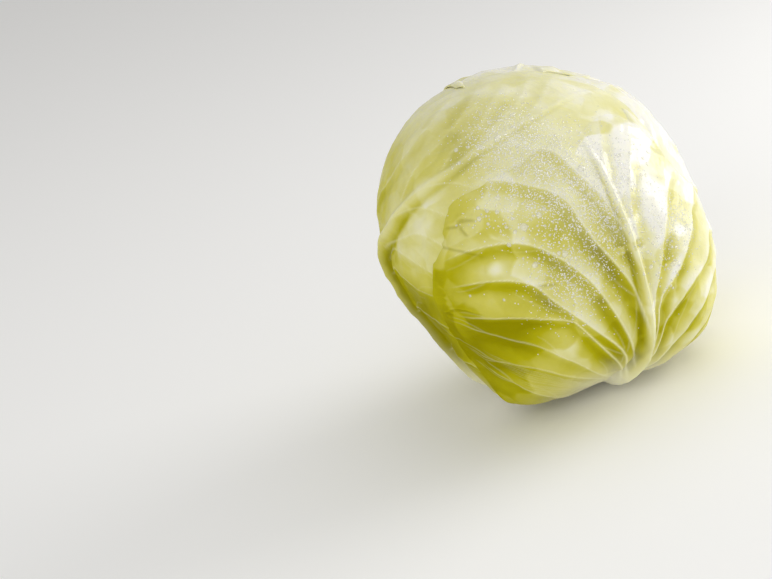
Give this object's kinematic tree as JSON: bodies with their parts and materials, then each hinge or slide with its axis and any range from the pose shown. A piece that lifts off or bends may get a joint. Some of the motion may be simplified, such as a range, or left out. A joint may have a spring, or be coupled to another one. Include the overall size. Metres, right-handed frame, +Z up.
{
  "type": "cabbage head",
  "caption": "Whole round head of white cabbage with overlapping wrapper leaves, standing on its cut stalk",
  "frame": {"origin": "centre of the stalk's flat cut face, which the head stands on", "axes": "+Z up through the crown; -Y is the side with the front leaf's veins; +X to the right of it"},
  "size_m": [0.1645, 0.1708, 0.1637],
  "materials": {
    "stalk": "matt, fibrous cut stalk",
    "inner_leaf": "smooth pale leaf",
    "leaf_under": "waxy leaf",
    "leaf_left": "waxy leaf",
    "leaf_right": "waxy pale leaf",
    "leaf_back": "waxy leaf",
    "leaf_front": "waxy leaf with raised pale veins"
  },
  "bodies": {
    "root": {"stalk": "stalk", "inner_head": "inner_leaf", "leaf_under": "leaf_under", "leaf_left": "leaf_left", "leaf_right": "leaf_right", "leaf_back": "leaf_back", "leaf_front": "leaf_front"}
  },
  "joints": []
}
